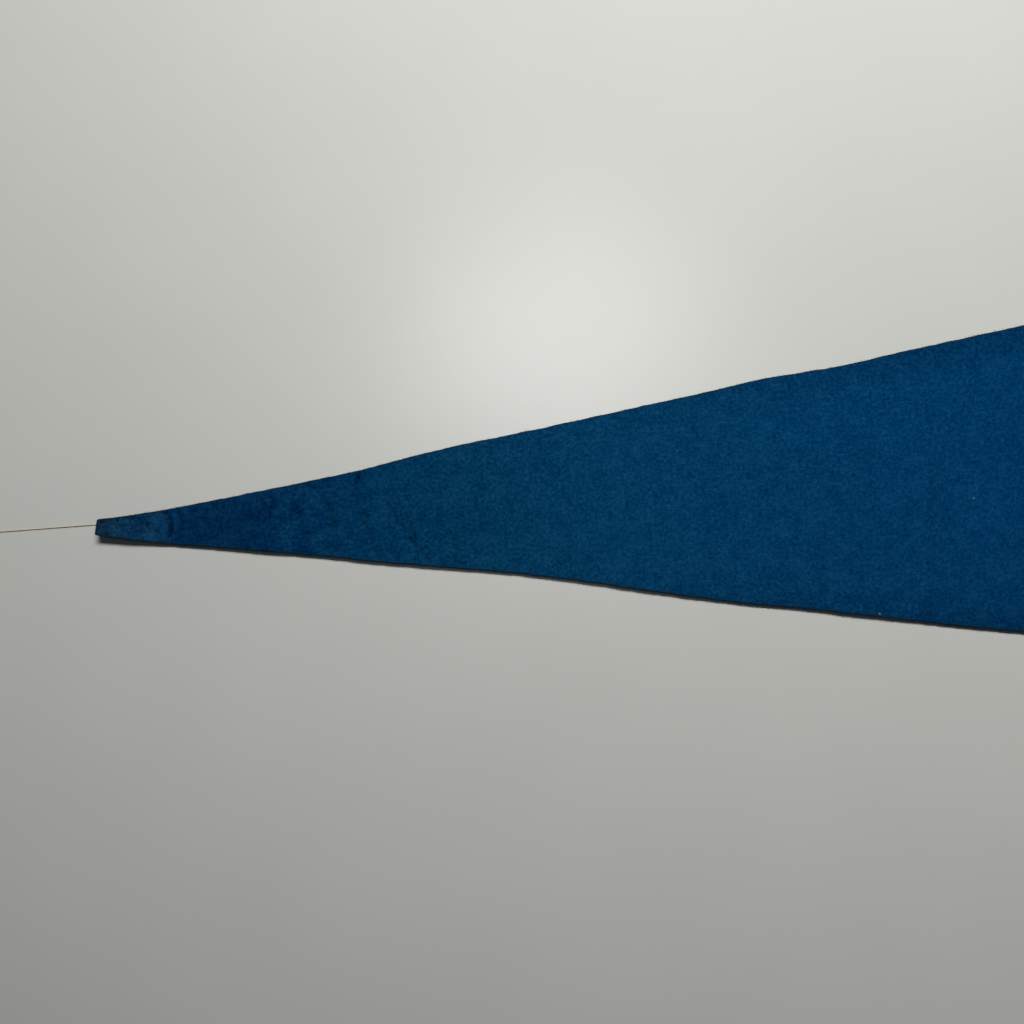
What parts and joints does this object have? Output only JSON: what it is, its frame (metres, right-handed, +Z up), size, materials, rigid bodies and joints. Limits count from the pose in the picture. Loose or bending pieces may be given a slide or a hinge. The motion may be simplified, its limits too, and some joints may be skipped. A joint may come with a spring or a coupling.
{
  "type": "felt pennant flag",
  "caption": "Long narrow triangle of plain felt with a blunt tip bent up along a crease, lying face up, with a thin taut thread at the tip.",
  "frame": {"origin": "on the surface that the felt lies on, under the middle of the felt's bounding box", "axes": "+X from the blunt tip to the wide hoist end, +Y across the felt, +Z up off the surface"},
  "size_m": [0.7295, 0.225, 0.0037],
  "materials": {
    "felt": "matted wool-blend felt, dull, faintly fuzzy",
    "thread": "twisted two-ply thread, dull"
  },
  "bodies": {
    "root": {"felt_pennant": "felt", "tip_thread": "thread", "tip_knot": "thread", "end_knot": "thread"}
  },
  "joints": []
}
